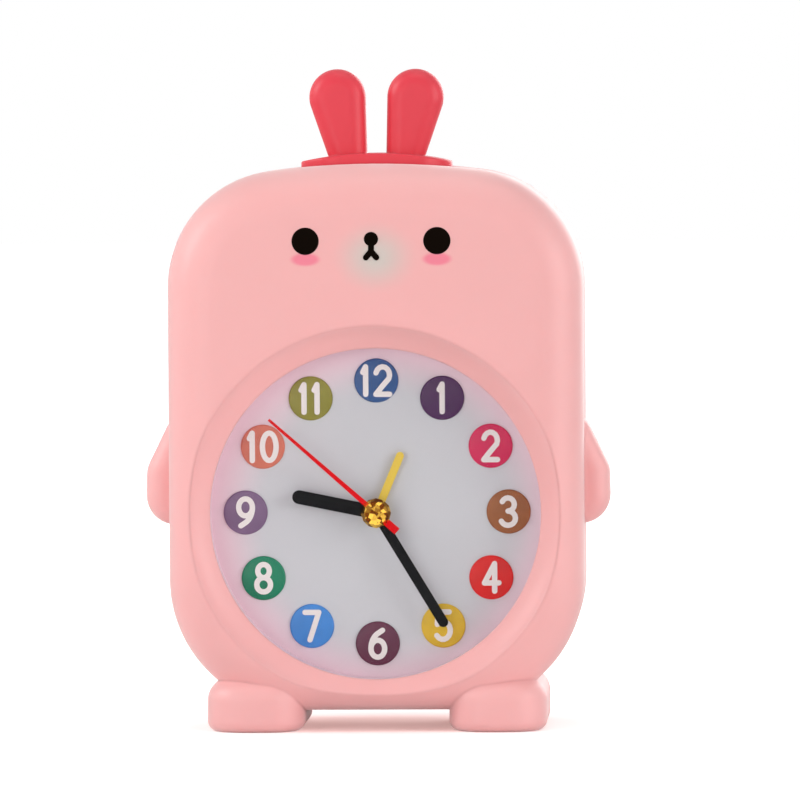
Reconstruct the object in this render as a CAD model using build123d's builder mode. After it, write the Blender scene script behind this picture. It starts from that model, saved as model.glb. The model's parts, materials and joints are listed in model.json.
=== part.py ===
from build123d import *
import math
import os

os.makedirs("parts", exist_ok=True)

# Body of the clock, all sizes in millimetres
body_w = 99.5
body_top = 135.7
body_bottom = 4.8
depth = 50.0
half = depth / 2
crown_r = 200.0
top_r = 28.0
bottom_r = 31.5
front_r = 11.0
back_r = 11.0
wall = 2.2
parting_y = half - 17.0

# Dial opening
dial_z = body_bottom + 47.3
dial_r = 39.6
rim_r = dial_r + 5.6
cove_sag = 0.8
recess_depth = 4.6
lip_y = recess_depth - half
lip_t = 1.0
dial_fit = 0.15
lens_t = 1.4
lens_r = dial_r + 1.4
tube_t = 2.0
tray_wall = 1.2
hand_room = 7.2
tray_t = 1.2
disc_r = 5.3
disc_t = 0.5
disc_ring_r = dial_r - 8.0

# Feet and arms
foot_x = body_w / 2 - 20.75
foot_w = 23.4
foot_h = 12.5
foot_depth = depth + 0.6
foot_corner_r = 9.5
foot_top_r = 5.0
foot_bottom_r = 2.4
arm_low = (body_w / 2 - 0.8, dial_z + 3.8, 7.0)
arm_mid = (body_w / 2 - 0.5, dial_z + 8.9, 6.6)
arm_high = (body_w / 2 - 2.8, dial_z + 18.4, 4.5)
arm_back_y = parting_y - 2.0
arm_front_y = arm_back_y - 14.0
arm_round = 4.2

# Depths that follow from the dial stack, front to back
lens_y = lip_y + lip_t
tray_rim_y = lens_y + lens_t
tray_y = tray_rim_y + hand_room
tray_back_y = tray_y + tray_t

# Movement box
move_half = 28.0
plate_t = 1.5
case_t = 1.5
move_inside = 13.0
plate_back_y = tray_back_y + plate_t
case_inner_y = plate_back_y + move_inside
case_back_y = case_inner_y + case_t
tab_at = move_half + 4.5
tab_r = 3.6
boss_r = 3.4
boss_root_y = wall - half - 0.3
run_fit = 0.05

# Arbors and pipes
second_r = 0.4
minute_r = 0.9
hour_r = 1.4
alarm_r = 1.9
shaft_r = 1.0
pivot_r = 0.5
stud_r = 0.8

# Layers of the wheels, measured back from the movement plate
alarm_layer = plate_back_y + 0.3
hour_layer = plate_back_y + 1.7
minute_layer = plate_back_y + 3.1
centre_layer = plate_back_y + 5.0
bridge_layer = plate_back_y + 6.1
third_layer = plate_back_y + 7.3
second_layer = plate_back_y + 8.5
rotor_layer = plate_back_y + 9.7
magnet_layer = plate_back_y + 10.9
wheel_t = 0.6
pinion_t = 0.8
bridge_t = 0.8

# Wheels: teeth and module of each pair
rotor_teeth, inter_teeth, rotor_m = 8, 48, 0.30
inter_pin_teeth, second_teeth, second_m = 10, 50, 0.30
second_pin_teeth, third_teeth, third_m = 8, 60, 0.36
third_pin_teeth, centre_teeth, centre_m = 8, 64, 0.34
cannon_teeth, minute_teeth, minute_m = 12, 36, 0.40
minute_pin_teeth, hour_teeth, hour_m = 10, 40, 0.384
alarm_pin_teeth, alarm_teeth, alarm_m = 24, 40, 0.40
set_teeth = 12
tooth_out = 0.75
tooth_in = 1.15
tip_share = 0.10
root_share = 0.22

# Hands: length, width, thickness and depth of the front face
alarm_hand_y = tray_y - 1.6
hour_hand_y = tray_y - 3.1
minute_hand_y = tray_y - 4.5
second_hand_y = tray_y - 5.7
hand_t = 0.5
second_hand_t = 0.3
hour_len, hour_wide = 20.6, 3.3
minute_len, minute_wide = 31.9, 2.4
second_len, second_wide, second_tail = 34.1, 0.9, 6.7
alarm_len, alarm_wide = 15.6, 1.9
hour_angle = 281.5
minute_angle = 148.8
second_angle = 311.3
alarm_angle = 22.6
cap_r = 3.6
cap_t = 1.2

# Ear button
ear_cap_w = 36.5
ear_cap_d = 20.0
ear_cap_h = 2.5
ear_arch_r = 85.0
ear_edge_r = 0.5
ear_fit = 0.3
ear_flange = 1.5
ear_flange_t = 1.6
ear_stop_gap = 0.1
ear_travel = 2.2
ear_top = (9.4, body_top + 15.9, 6.8)
ear_low = (7.0, body_top + 2.5, 4.7)
ear_t = 8.6
ear_round = 3.9
stem_r = 2.5
stem_bottom = body_top - 9.5
switch_w = 7.0
switch_h = 4.4
plunger_r = 1.6
plunger_len = 4.2
shelf_z = body_top - 18.0
shelf_t = 2.0
shelf_half = 11.0
board_t = 1.6
board_screws_at = (-7.0, 7.0)
board_screw_r = 1.0

# Knob well in the back
well_x = 2.0
well_z = dial_z + 1.0
well_w = 54.0
well_h = 42.0
well_r = 8.0
well_floor_y = case_back_y + 2.0
well_floor_t = 2.0
knob_r = 6.5
knob_y = well_floor_y + well_floor_t + 0.6
knob_h = half - knob_y - 2.5
knob_flutes = 12
slider_x = 14.0
slider_z = dial_z + 16.0
slider_w = 4.0
slider_h = 2.6
slider_travel = 3.0
slide_fit = 0.3

# Battery bay
cell_r = 7.1
cell_len = 49.5
nub_r = 2.7
nub_len = 1.0
leaf_room = 2.4
dimple_room = 1.7
contact_t = 0.4
contact_size = 2 * cell_r - 3.2
cover_t = 1.7
cover_r = 4.0
cover_fit = 0.3
cover_gap = 0.8
bay_z = body_top - 39.0
bay_w = leaf_room + cell_len + nub_len + dimple_room
bay_h = 2 * cell_r + 1.8
bay_floor_y = half - cover_t - cover_gap - 2 * cell_r
bay_wall = 1.8
cover_w = bay_w + 11.4
cover_h = bay_h + 8.0

# Buzzer and screws
buzzer_z = body_top - 17.6
buzzer_r = 6.5
buzzer_t = 5.0
sound_r = 0.8
sound_ring_r = 3.5
screw_r = 1.25
head_r = 2.8
head_t = 1.8
case_high = (body_w / 2 - 9.0, body_top - 24.5)
case_low = (body_w / 2 - 9.5, body_bottom + 25.0)
case_screws_at = [(side * x, z) for side in (-1, 1) for x, z in (case_high, case_low)]
case_seat_y = parting_y + 3.5
case_post_r = 4.6


def facing(y):
    return Plane.XZ.offset(-y)


def axis_plane(x, z, y):
    return Plane(origin=(x, y, z), x_dir=(1, 0, 0), z_dir=(0, -1, 0))


def polar(radius, degrees):
    a = math.radians(degrees)
    return radius * math.cos(a), dial_z + radius * math.sin(a)


def body_solid(inset):
    low = body_bottom + inset
    high = body_top - inset
    wide = body_w / 2 - inset
    arch = crown_r - inset
    shoulder = high - arch + math.sqrt(arch ** 2 - wide ** 2)
    with BuildPart() as b:
        with BuildSketch(facing(half - inset)) as s:
            with BuildLine():
                Polyline((wide, shoulder), (wide, low), (-wide, low), (-wide, shoulder))
                ThreePointArc((-wide, shoulder), (0, high), (wide, shoulder))
            make_face()
            fillet(s.vertices().group_by(Axis.Y)[-1], top_r - inset)
            fillet(s.vertices().group_by(Axis.Y)[0], bottom_r - inset)
        extrude(amount=depth - 2 * inset)
        fillet(b.edges().group_by(Axis.Y)[0], front_r - inset)
        fillet(b.edges().group_by(Axis.Y)[-1], back_r - inset)
    return b.part


def foot_solid(side, inset):
    with BuildPart() as f:
        with BuildSketch(Plane.XY.offset(inset)) as s:
            with Locations((side * foot_x, 0)):
                Rectangle(foot_w - 2 * inset, foot_depth - 2 * inset)
            fillet(s.vertices(), foot_corner_r - inset)
        extrude(amount=foot_h - 2 * inset)
        fillet(f.edges().group_by(Axis.Z)[-1], foot_top_r - inset)
        fillet(f.edges().group_by(Axis.Z)[0], max(foot_bottom_r - inset, 0.3))
    return f.part


def arm_solid(side):
    with BuildPart() as a:
        with BuildSketch(facing(arm_back_y)):
            for x, z, r in (arm_low, arm_mid, arm_high):
                with Locations((side * x, z)):
                    Circle(r)
            make_hull()
        extrude(amount=arm_back_y - arm_front_y)
        fillet(a.edges().group_by(Axis.Y)[0], arm_round)
        fillet(a.edges().group_by(Axis.Y)[-1], arm_round)
    return a.part


def rod(x, z, r, y0, y1):
    with BuildPart() as c:
        with BuildSketch(axis_plane(x, z, y1)):
            Circle(r)
        extrude(amount=y1 - y0)
    return c.part


def block(x, z, w, h, y0, y1, r=0.0):
    with BuildPart() as c:
        with BuildSketch(axis_plane(x, z, y1)):
            if r > 0:
                RectangleRounded(w, h, r)
            else:
                Rectangle(w, h)
        extrude(amount=y1 - y0)
    return c.part


def upright(w, d, z0, z1, y=0.0, x=0.0, slot=False):
    with BuildPart() as c:
        with BuildSketch(Plane(origin=(x, y, z0))):
            if slot:
                SlotOverall(w, d)
            else:
                Rectangle(w, d)
        extrude(amount=z1 - z0)
    return c.part


def pin(x, y, r, z0, z1):
    with BuildPart() as c:
        with BuildSketch(Plane(origin=(x, y, z0))):
            Circle(r)
        extrude(amount=z1 - z0)
    return c.part


def wheel(place, teeth, module, phase, y0, thick):
    # Spur wheel with plain flanked teeth; one tooth stands at the phase angle
    tip_r = (teeth / 2 + tooth_out) * module
    root_r = (teeth / 2 - tooth_in) * module
    corners = []
    for i in range(teeth):
        for r, share in ((root_r, -root_share), (tip_r, -tip_share),
                         (tip_r, tip_share), (root_r, root_share)):
            a = math.radians(phase + 360 / teeth * (i + share))
            corners.append((r * math.cos(a), r * math.sin(a)))
    with BuildPart() as g:
        with BuildSketch(axis_plane(place[0], place[1], y0 + thick)):
            with BuildLine():
                Polyline(*corners, close=True)
            make_face()
        extrude(amount=thick)
    return g.part


# Outer form and hollow of the body
outer = body_solid(0)
hollow = body_solid(wall)
feet = [foot_solid(-1, 0), foot_solid(1, 0)]
foot_hollows = [foot_solid(-1, wall), foot_solid(1, wall)]
arms = [arm_solid(-1), arm_solid(1)]
ear_hole = upright(ear_cap_w + 2 * ear_fit, ear_cap_d + 2 * ear_fit,
                   body_top - 2 * wall, body_top + wall, slot=True)
front_plane = facing(parting_y)

# Dial collar: cove in front, lip for the lens, tube for the dial tray
tube_r = lens_r + dial_fit
with BuildPart() as collar:
    with BuildSketch(Plane(origin=(0, 0, dial_z), x_dir=(1, 0, 0), z_dir=(0, 0, 1))):
        with BuildLine():
            Polyline((dial_r - 2, -half), (rim_r + 2 * wall, -half), (rim_r + wall, lip_y),
                     (tube_r + tube_t, lens_y + lens_t), (tube_r + tube_t, tray_back_y),
                     (dial_r - 2, tray_back_y), close=True)
        make_face()
    revolve(axis=Axis((0, 0, dial_z), (0, 1, 0)))
    add(outer, mode=Mode.INTERSECT)

# Space in front of the dial: a hollow-curved cove that runs out at the rim
cove_top = (rim_r, -half - 0.2)
cove_low = (dial_r, lip_y)
cove_len = math.hypot(cove_top[0] - cove_low[0], cove_top[1] - cove_low[1])
cove_mid = ((cove_top[0] + cove_low[0]) / 2 + cove_sag * (cove_low[1] - cove_top[1]) / cove_len,
            (cove_top[1] + cove_low[1]) / 2 + cove_sag * (cove_top[0] - cove_low[0]) / cove_len)
with BuildPart() as recess:
    with BuildSketch(Plane(origin=(0, 0, dial_z), x_dir=(1, 0, 0), z_dir=(0, 0, 1))):
        with BuildLine():
            Polyline(cove_top, (rim_r, -half - 3), (0, -half - 3), (0, tray_back_y + 1),
                     (tube_r, tray_back_y + 1), (tube_r, lens_y), (dial_r, lens_y), cove_low)
            ThreePointArc(cove_low, cove_mid, cove_top)
        make_face()
    revolve(axis=Axis((0, 0, dial_z), (0, 1, 0)))

move_bosses = [(sx * tab_at, dial_z + sz * tab_at) for sx in (-1, 1) for sz in (-1, 1)]

with BuildPart() as rear_posts:
    for x, z in case_screws_at:
        add(rod(x, z, case_post_r, parting_y, half))
    add(outer, mode=Mode.INTERSECT)

with BuildPart() as front_shell:
    add(outer)
    add(feet)
    add(arms)
    add(hollow, mode=Mode.SUBTRACT)
    add(foot_hollows, mode=Mode.SUBTRACT)
    split(bisect_by=front_plane, keep=Keep.TOP)
    add(collar.part)
    for x, z in move_bosses:
        add(rod(x, z, boss_r, boss_root_y, tray_back_y))
    for x, z in case_screws_at:
        add(rod(x, z, boss_r, boss_root_y, parting_y))
    add(upright(2 * shelf_half, parting_y - 1 + half - wall, shelf_z - shelf_t, shelf_z,
                y=(parting_y - 1 - half + wall) / 2))
    add(recess.part, mode=Mode.SUBTRACT)
    add(ear_hole, mode=Mode.SUBTRACT)
    for x, z in move_bosses:
        add(rod(x, z, screw_r, tray_back_y - 7, tray_back_y), mode=Mode.SUBTRACT)
    for x, z in case_screws_at:
        add(rod(x, z, screw_r, parting_y - 12, parting_y), mode=Mode.SUBTRACT)
    for x in board_screws_at:
        add(pin(x, 0, board_screw_r, shelf_z - shelf_t, shelf_z), mode=Mode.SUBTRACT)
front_shell.part.label = "front_shell"
export_step(front_shell.part, "parts/front_shell.step")

# Places of the wheels round the dial centre
centre = (0.0, dial_z)
third_at = polar((second_pin_teeth + third_teeth) * third_m / 2, 90)
inter_angle = 210
inter_dist = (inter_pin_teeth + second_teeth) * second_m / 2
inter_at = polar(inter_dist, inter_angle)
rotor_at = polar(inter_dist + (rotor_teeth + inter_teeth) * rotor_m / 2, inter_angle)
set_angle = 330
minute_dist = (cannon_teeth + minute_teeth) * minute_m / 2
minute_at = polar(minute_dist, set_angle)
set_at = polar(minute_dist + (set_teeth + minute_teeth) * minute_m / 2, set_angle)
alarm_angle_at = 160
alarm_at = polar((alarm_pin_teeth + alarm_teeth) * alarm_m / 2, alarm_angle_at)

with BuildPart() as rear_shell:
    add(outer)
    add(feet)
    add(hollow, mode=Mode.SUBTRACT)
    add(foot_hollows, mode=Mode.SUBTRACT)
    split(bisect_by=front_plane, keep=Keep.BOTTOM)
    add(rear_posts.part)
    add(block(well_x, well_z, well_w + 2 * wall, well_h + 2 * wall, well_floor_y, half, well_r + wall))
    add(block(0, bay_z, bay_w + 2 * bay_wall, bay_h + 2 * bay_wall, bay_floor_y - bay_wall, half))
    add(block(0, bay_z, cover_w + 2 * bay_wall, cover_h + 2 * bay_wall, half - cover_t - bay_wall, half,
              cover_r + bay_wall))
    add(rod(0, buzzer_z, buzzer_r + dial_fit + 1.4, half - wall - 3, half - wall))
    add(block(well_x, well_z, well_w, well_h, well_floor_y + well_floor_t, half + 1, well_r),
        mode=Mode.SUBTRACT)
    add(block(0, bay_z, bay_w, bay_h, bay_floor_y, half + 1), mode=Mode.SUBTRACT)
    add(block(0, bay_z, cover_w + 2 * cover_fit, cover_h + 2 * cover_fit, half - cover_t, half + 1,
              cover_r + cover_fit), mode=Mode.SUBTRACT)
    add(rod(0, buzzer_z, buzzer_r + dial_fit, half - wall - 3, half - wall), mode=Mode.SUBTRACT)
    for k in range(7):
        hole_x = sound_ring_r * math.cos(math.radians(60 * k)) if k < 6 else 0
        hole_z = sound_ring_r * math.sin(math.radians(60 * k)) if k < 6 else 0
        add(rod(hole_x, buzzer_z + hole_z, sound_r, half - wall, half + 1), mode=Mode.SUBTRACT)
    for x, z in case_screws_at:
        add(rod(x, z, screw_r + slide_fit, parting_y, case_seat_y), mode=Mode.SUBTRACT)
        add(rod(x, z, head_r + 2 * slide_fit, case_seat_y, half + 1), mode=Mode.SUBTRACT)
    for x, z in (set_at, alarm_at):
        add(rod(x, z, shaft_r + slide_fit, well_floor_y, well_floor_y + well_floor_t), mode=Mode.SUBTRACT)
    add(block(slider_x + slider_travel / 2, slider_z, slider_w + slider_travel + 2 * slide_fit,
              slider_h + 2 * slide_fit, well_floor_y, well_floor_y + well_floor_t), mode=Mode.SUBTRACT)
    add(ear_hole, mode=Mode.SUBTRACT)
rear_shell.part.label = "rear_shell"
export_step(rear_shell.part, "parts/rear_shell.step")

# Lens and dial
with BuildPart() as dial_lens:
    with BuildSketch(axis_plane(0, dial_z, tray_rim_y)):
        Circle(lens_r)
    extrude(amount=lens_t)
dial_lens.part.label = "dial_lens"
export_step(dial_lens.part, "parts/dial_lens.step")

with BuildPart() as dial_plate:
    with BuildSketch(axis_plane(0, dial_z, tray_back_y)):
        Circle(lens_r)
    extrude(amount=tray_back_y - tray_rim_y)
    with BuildSketch(axis_plane(0, dial_z, tray_y)):
        Circle(lens_r - tray_wall)
    extrude(amount=hand_room, mode=Mode.SUBTRACT)
    with BuildSketch(axis_plane(0, dial_z, tray_back_y)):
        Circle(alarm_r + slide_fit)
    extrude(amount=tray_t, mode=Mode.SUBTRACT)
dial_plate.part.label = "dial_plate"
export_step(dial_plate.part, "parts/dial_plate.step")

with BuildPart() as number_discs:
    with BuildSketch(axis_plane(0, dial_z, tray_y)):
        with PolarLocations(disc_ring_r, 12):
            Circle(disc_r)
    extrude(amount=disc_t)
number_discs.part.label = "number_discs"
export_step(number_discs.part, "parts/number_discs.step")


def hand_plane(angle, y):
    a = math.radians(angle)
    return Plane(origin=(0, y, dial_z), x_dir=(math.sin(a), 0, math.cos(a)), z_dir=(0, -1, 0))


# Hands, each pressed on its own pipe
with BuildPart() as alarm_hand:
    with BuildSketch(hand_plane(alarm_angle, alarm_hand_y + hand_t)):
        with Locations((alarm_len / 2, 0)):
            SlotOverall(alarm_len, alarm_wide)
        Circle(alarm_r + 0.8)
        Circle(alarm_r, mode=Mode.SUBTRACT)
    extrude(amount=hand_t)
alarm_hand.part.label = "alarm_hand"
export_step(alarm_hand.part, "parts/alarm_hand.step")

with BuildPart() as hour_hand:
    with BuildSketch(hand_plane(hour_angle, hour_hand_y + hand_t)):
        with Locations((hour_len / 2, 0)):
            SlotOverall(hour_len, hour_wide)
        Circle(hour_r + 1.2)
        Circle(hour_r, mode=Mode.SUBTRACT)
    extrude(amount=hand_t)
hour_hand.part.label = "hour_hand"
export_step(hour_hand.part, "parts/hour_hand.step")

with BuildPart() as minute_hand:
    with BuildSketch(hand_plane(minute_angle, minute_hand_y + hand_t)):
        with Locations((minute_len / 2, 0)):
            SlotOverall(minute_len, minute_wide)
        Circle(minute_r + 1.5)
        Circle(minute_r, mode=Mode.SUBTRACT)
    extrude(amount=hand_t)
minute_hand.part.label = "minute_hand"
export_step(minute_hand.part, "parts/minute_hand.step")

with BuildPart() as second_hand:
    with BuildSketch(hand_plane(second_angle, second_hand_y + second_hand_t)):
        with BuildLine():
            Polyline((second_len, second_wide * 0.35), (0, second_wide * 0.7), (-2, second_wide * 0.7),
                     (-3, second_wide), (-second_tail, second_wide), (-second_tail, -second_wide),
                     (-3, -second_wide), (-2, -second_wide * 0.7), (0, -second_wide * 0.7),
                     (second_len, -second_wide * 0.35), close=True)
        make_face()
        Circle(second_r + 1.1)
        Circle(second_r, mode=Mode.SUBTRACT)
    extrude(amount=second_hand_t)
second_hand.part.label = "second_hand"
export_step(second_hand.part, "parts/second_hand.step")

with BuildPart() as centre_cap:
    with BuildSketch(axis_plane(0, dial_z, second_hand_y)):
        RegularPolygon(cap_r, 12)
    extrude(amount=cap_t, taper=32)
    with BuildSketch(axis_plane(0, dial_z, second_hand_y)):
        Circle(second_r)
    extrude(amount=cap_t / 2, mode=Mode.SUBTRACT)
centre_cap.part.label = "centre_cap"
export_step(centre_cap.part, "parts/centre_cap.step")

# Movement front plate: tabs for the screws, posts for the bridge, stud for the minute wheel
tab_mid = (tab_at + move_half - 2) / 2
tab_long = (tab_at - move_half + 2) * math.sqrt(2)
bridge_posts = [(sx * 22.0, dial_z + dz) for sx in (-1, 1) for dz in (-13.0, 24.0)]
with BuildPart() as movement_plate:
    with BuildSketch(axis_plane(0, dial_z, plate_back_y)):
        Rectangle(2 * move_half, 2 * move_half)
        for sx in (-1, 1):
            for sz in (-1, 1):
                with Locations((sx * tab_mid, sz * tab_mid)):
                    SlotCenterToCenter(tab_long, 2 * tab_r, rotation=45 * sx * sz)
        with GridLocations(2 * tab_at, 2 * tab_at, 2, 2):
            Circle(screw_r + slide_fit, mode=Mode.SUBTRACT)
        Circle(alarm_r + run_fit, mode=Mode.SUBTRACT)
    extrude(amount=plate_t)
    for x, z in bridge_posts:
        add(rod(x, z, 1.8, plate_back_y, bridge_layer))
    add(rod(*minute_at, stud_r, plate_back_y, minute_layer + pinion_t + 0.3))
    add(rod(*third_at, pivot_r + run_fit, plate_back_y - 0.9, plate_back_y), mode=Mode.SUBTRACT)
    for x, z in (set_at, alarm_at):
        add(rod(x, z, shaft_r + run_fit, plate_back_y - 0.9, plate_back_y), mode=Mode.SUBTRACT)
movement_plate.part.label = "movement_plate"
export_step(movement_plate.part, "parts/movement_plate.step")

# Movement rear case: open box with tabs, bearings and posts
stator_y = magnet_layer + 0.4
stator_t = 0.8
pcb_y = case_inner_y - 2.5
pcb_t = 1.0
with BuildPart() as movement_case:
    add(block(0, dial_z, 2 * move_half, 2 * move_half, plate_back_y, case_back_y))
    add(block(0, dial_z, 2 * (move_half - case_t), 2 * (move_half - case_t), plate_back_y, case_inner_y),
        mode=Mode.SUBTRACT)
    for sx in (-1, 1):
        for sz in (-1, 1):
            with BuildSketch(axis_plane(sx * tab_mid, dial_z + sz * tab_mid, plate_back_y + case_t)):
                SlotCenterToCenter(tab_long, 2 * tab_r, rotation=45 * sx * sz)
            extrude(amount=case_t)
    add(block(0, dial_z, 2 * (move_half - case_t), 2 * (move_half - case_t), plate_back_y, case_inner_y),
        mode=Mode.SUBTRACT)
    for x, z in ((-17.0, dial_z - 20.0), (11.5, dial_z - 9.0)):
        add(rod(x, z, 1.3, stator_y + stator_t, case_inner_y))
    for x, z in ((17.5, dial_z - 24.0), (23.5, dial_z - 15.0)):
        add(rod(x, z, 1.2, pcb_y + pcb_t, case_inner_y))
    for x, z in move_bosses:
        add(rod(x, z, screw_r + slide_fit, plate_back_y, plate_back_y + case_t), mode=Mode.SUBTRACT)
    for x, z, r in ((0, dial_z, second_r), (*third_at, pivot_r), (*inter_at, pivot_r), (*rotor_at, second_r)):
        add(rod(x, z, r + run_fit, case_inner_y, case_inner_y + 0.9), mode=Mode.SUBTRACT)
    for x, z in (set_at, alarm_at):
        add(rod(x, z, shaft_r + run_fit, case_inner_y, case_back_y), mode=Mode.SUBTRACT)
    add(block(slider_x + slider_travel / 2, slider_z, slider_w + slider_travel + 2 * slide_fit,
              slider_h + 2 * slide_fit, case_inner_y, case_back_y), mode=Mode.SUBTRACT)
movement_case.part.label = "movement_case"
export_step(movement_case.part, "parts/movement_case.step")

with BuildPart() as train_bridge:
    with BuildSketch(axis_plane(0, dial_z + 5.5, bridge_layer + bridge_t)):
        RectangleRounded(48, 41, 3)
    extrude(amount=bridge_t)
    for x, z, r in ((0, dial_z, minute_r + run_fit), (*third_at, 2.0), (*inter_at, pivot_r + run_fit),
                    (*rotor_at, second_r + run_fit), (*set_at, shaft_r + 0.4), (*alarm_at, shaft_r + 0.4)):
        add(rod(x, z, r, bridge_layer, bridge_layer + bridge_t), mode=Mode.SUBTRACT)
train_bridge.part.label = "train_bridge"
export_step(train_bridge.part, "parts/train_bridge.step")

# Going train
far_pivot_y = case_inner_y + 0.7
with BuildPart() as second_wheel:
    add(rod(0, dial_z, second_r, second_hand_y - cap_t / 2, far_pivot_y))
    add(wheel(centre, second_pin_teeth, third_m, 90, third_layer - 0.1, pinion_t))
    add(rod(0, dial_z, 0.9, third_layer - 0.1, second_layer + wheel_t))
    add(wheel(centre, second_teeth, second_m, inter_angle + 180 / second_teeth, second_layer, wheel_t))
second_wheel.part.label = "second_wheel"
export_step(second_wheel.part, "parts/second_wheel.step")

with BuildPart() as third_wheel:
    add(rod(*third_at, pivot_r, plate_back_y - 0.7, far_pivot_y))
    add(wheel(third_at, third_pin_teeth, centre_m, 270, centre_layer - 0.1, pinion_t))
    add(rod(*third_at, 0.9, centre_layer - 0.1, third_layer + wheel_t))
    add(wheel(third_at, third_teeth, third_m, 270 + 180 / third_teeth, third_layer, wheel_t))
third_wheel.part.label = "third_wheel"
export_step(third_wheel.part, "parts/third_wheel.step")

with BuildPart() as centre_wheel:
    add(wheel(centre, centre_teeth, centre_m, 90 + 180 / centre_teeth, centre_layer, wheel_t))
    add(rod(0, dial_z, 2.2, centre_layer - 0.4, centre_layer + wheel_t))
    add(rod(0, dial_z, minute_r + run_fit, centre_layer - 0.4, centre_layer + wheel_t), mode=Mode.SUBTRACT)
centre_wheel.part.label = "centre_wheel"
export_step(centre_wheel.part, "parts/centre_wheel.step")

with BuildPart() as inter_wheel:
    add(rod(*inter_at, pivot_r, bridge_layer + 0.1, far_pivot_y))
    add(wheel(inter_at, inter_pin_teeth, second_m, inter_angle - 180, second_layer - 0.1, pinion_t))
    add(rod(*inter_at, 1.0, second_layer - 0.1, rotor_layer + wheel_t))
    add(wheel(inter_at, inter_teeth, rotor_m, inter_angle + 180 / inter_teeth, rotor_layer, wheel_t))
inter_wheel.part.label = "inter_wheel"
export_step(inter_wheel.part, "parts/inter_wheel.step")

magnet_r = 2.2
with BuildPart() as rotor:
    add(rod(*rotor_at, second_r, bridge_layer + 0.1, far_pivot_y))
    add(wheel(rotor_at, rotor_teeth, rotor_m, inter_angle - 180, rotor_layer - 0.1, pinion_t))
    add(rod(*rotor_at, 0.8, rotor_layer - 0.1, magnet_layer))
    add(rod(*rotor_at, magnet_r, magnet_layer, magnet_layer + 1.5))
rotor.part.label = "rotor"
export_step(rotor.part, "parts/rotor.step")

# Motion work
with BuildPart() as minute_pipe:
    add(rod(0, dial_z, minute_r, minute_hand_y, bridge_layer + bridge_t))
    add(wheel(centre, cannon_teeth, minute_m, set_angle, minute_layer, pinion_t))
    add(rod(0, dial_z, second_r + run_fit, minute_hand_y, bridge_layer + bridge_t), mode=Mode.SUBTRACT)
minute_pipe.part.label = "minute_pipe"
export_step(minute_pipe.part, "parts/minute_pipe.step")

with BuildPart() as minute_wheel:
    add(wheel(minute_at, minute_pin_teeth, hour_m, set_angle - 180, hour_layer, pinion_t))
    add(rod(*minute_at, 1.4, hour_layer, minute_layer + pinion_t))
    add(wheel(minute_at, minute_teeth, minute_m, set_angle - 180 + 180 / minute_teeth,
              minute_layer, pinion_t))
    add(rod(*minute_at, stud_r + run_fit, hour_layer, minute_layer + pinion_t), mode=Mode.SUBTRACT)
minute_wheel.part.label = "minute_wheel"
export_step(minute_wheel.part, "parts/minute_wheel.step")

with BuildPart() as hour_wheel:
    add(rod(0, dial_z, hour_r, hour_hand_y, hour_layer + pinion_t))
    add(wheel(centre, hour_teeth, hour_m, set_angle + 180 / hour_teeth, hour_layer, pinion_t))
    add(rod(0, dial_z, minute_r + run_fit, hour_hand_y, hour_layer + pinion_t), mode=Mode.SUBTRACT)
hour_wheel.part.label = "hour_wheel"
export_step(hour_wheel.part, "parts/hour_wheel.step")

with BuildPart() as alarm_wheel:
    add(rod(0, dial_z, alarm_r, alarm_hand_y, alarm_layer + pinion_t))
    add(wheel(centre, alarm_teeth, alarm_m, alarm_angle_at + 180 / alarm_teeth, alarm_layer, pinion_t))
    add(rod(0, dial_z, hour_r + run_fit, alarm_hand_y, alarm_layer + pinion_t), mode=Mode.SUBTRACT)
alarm_wheel.part.label = "alarm_wheel"
export_step(alarm_wheel.part, "parts/alarm_wheel.step")

# Setting shafts and their knobs
shaft_end_y = knob_y + knob_h - 2.5
with BuildPart() as setting_shaft:
    add(rod(*set_at, shaft_r, plate_back_y - 0.7, shaft_end_y))
    add(wheel(set_at, set_teeth, minute_m, set_angle - 180, minute_layer, pinion_t))
setting_shaft.part.label = "setting_shaft"
export_step(setting_shaft.part, "parts/setting_shaft.step")

with BuildPart() as alarm_shaft:
    add(rod(*alarm_at, shaft_r, plate_back_y - 0.7, shaft_end_y))
    add(wheel(alarm_at, alarm_pin_teeth, alarm_m, alarm_angle_at - 180, alarm_layer, pinion_t))
alarm_shaft.part.label = "alarm_shaft"
export_step(alarm_shaft.part, "parts/alarm_shaft.step")

with BuildPart() as time_knob:
    with BuildSketch(axis_plane(*set_at, knob_y + knob_h)):
        Circle(knob_r)
        with PolarLocations(knob_r + 0.4, knob_flutes):
            Circle(1.0, mode=Mode.SUBTRACT)
    extrude(amount=knob_h)
    chamfer(time_knob.faces().sort_by(Axis.Y)[-1].outer_wire().edges(), 0.4)
    add(rod(*set_at, shaft_r, knob_y, shaft_end_y), mode=Mode.SUBTRACT)
time_knob.part.label = "time_knob"
export_step(time_knob.part, "parts/time_knob.step")

with BuildPart() as alarm_knob:
    with BuildSketch(axis_plane(*alarm_at, knob_y + knob_h)):
        Circle(knob_r)
        with PolarLocations(knob_r + 0.4, knob_flutes):
            Circle(1.0, mode=Mode.SUBTRACT)
    extrude(amount=knob_h)
    chamfer(alarm_knob.faces().sort_by(Axis.Y)[-1].outer_wire().edges(), 0.4)
    add(rod(*alarm_at, shaft_r, knob_y, shaft_end_y), mode=Mode.SUBTRACT)
alarm_knob.part.label = "alarm_knob"
export_step(alarm_knob.part, "parts/alarm_knob.step")

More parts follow.
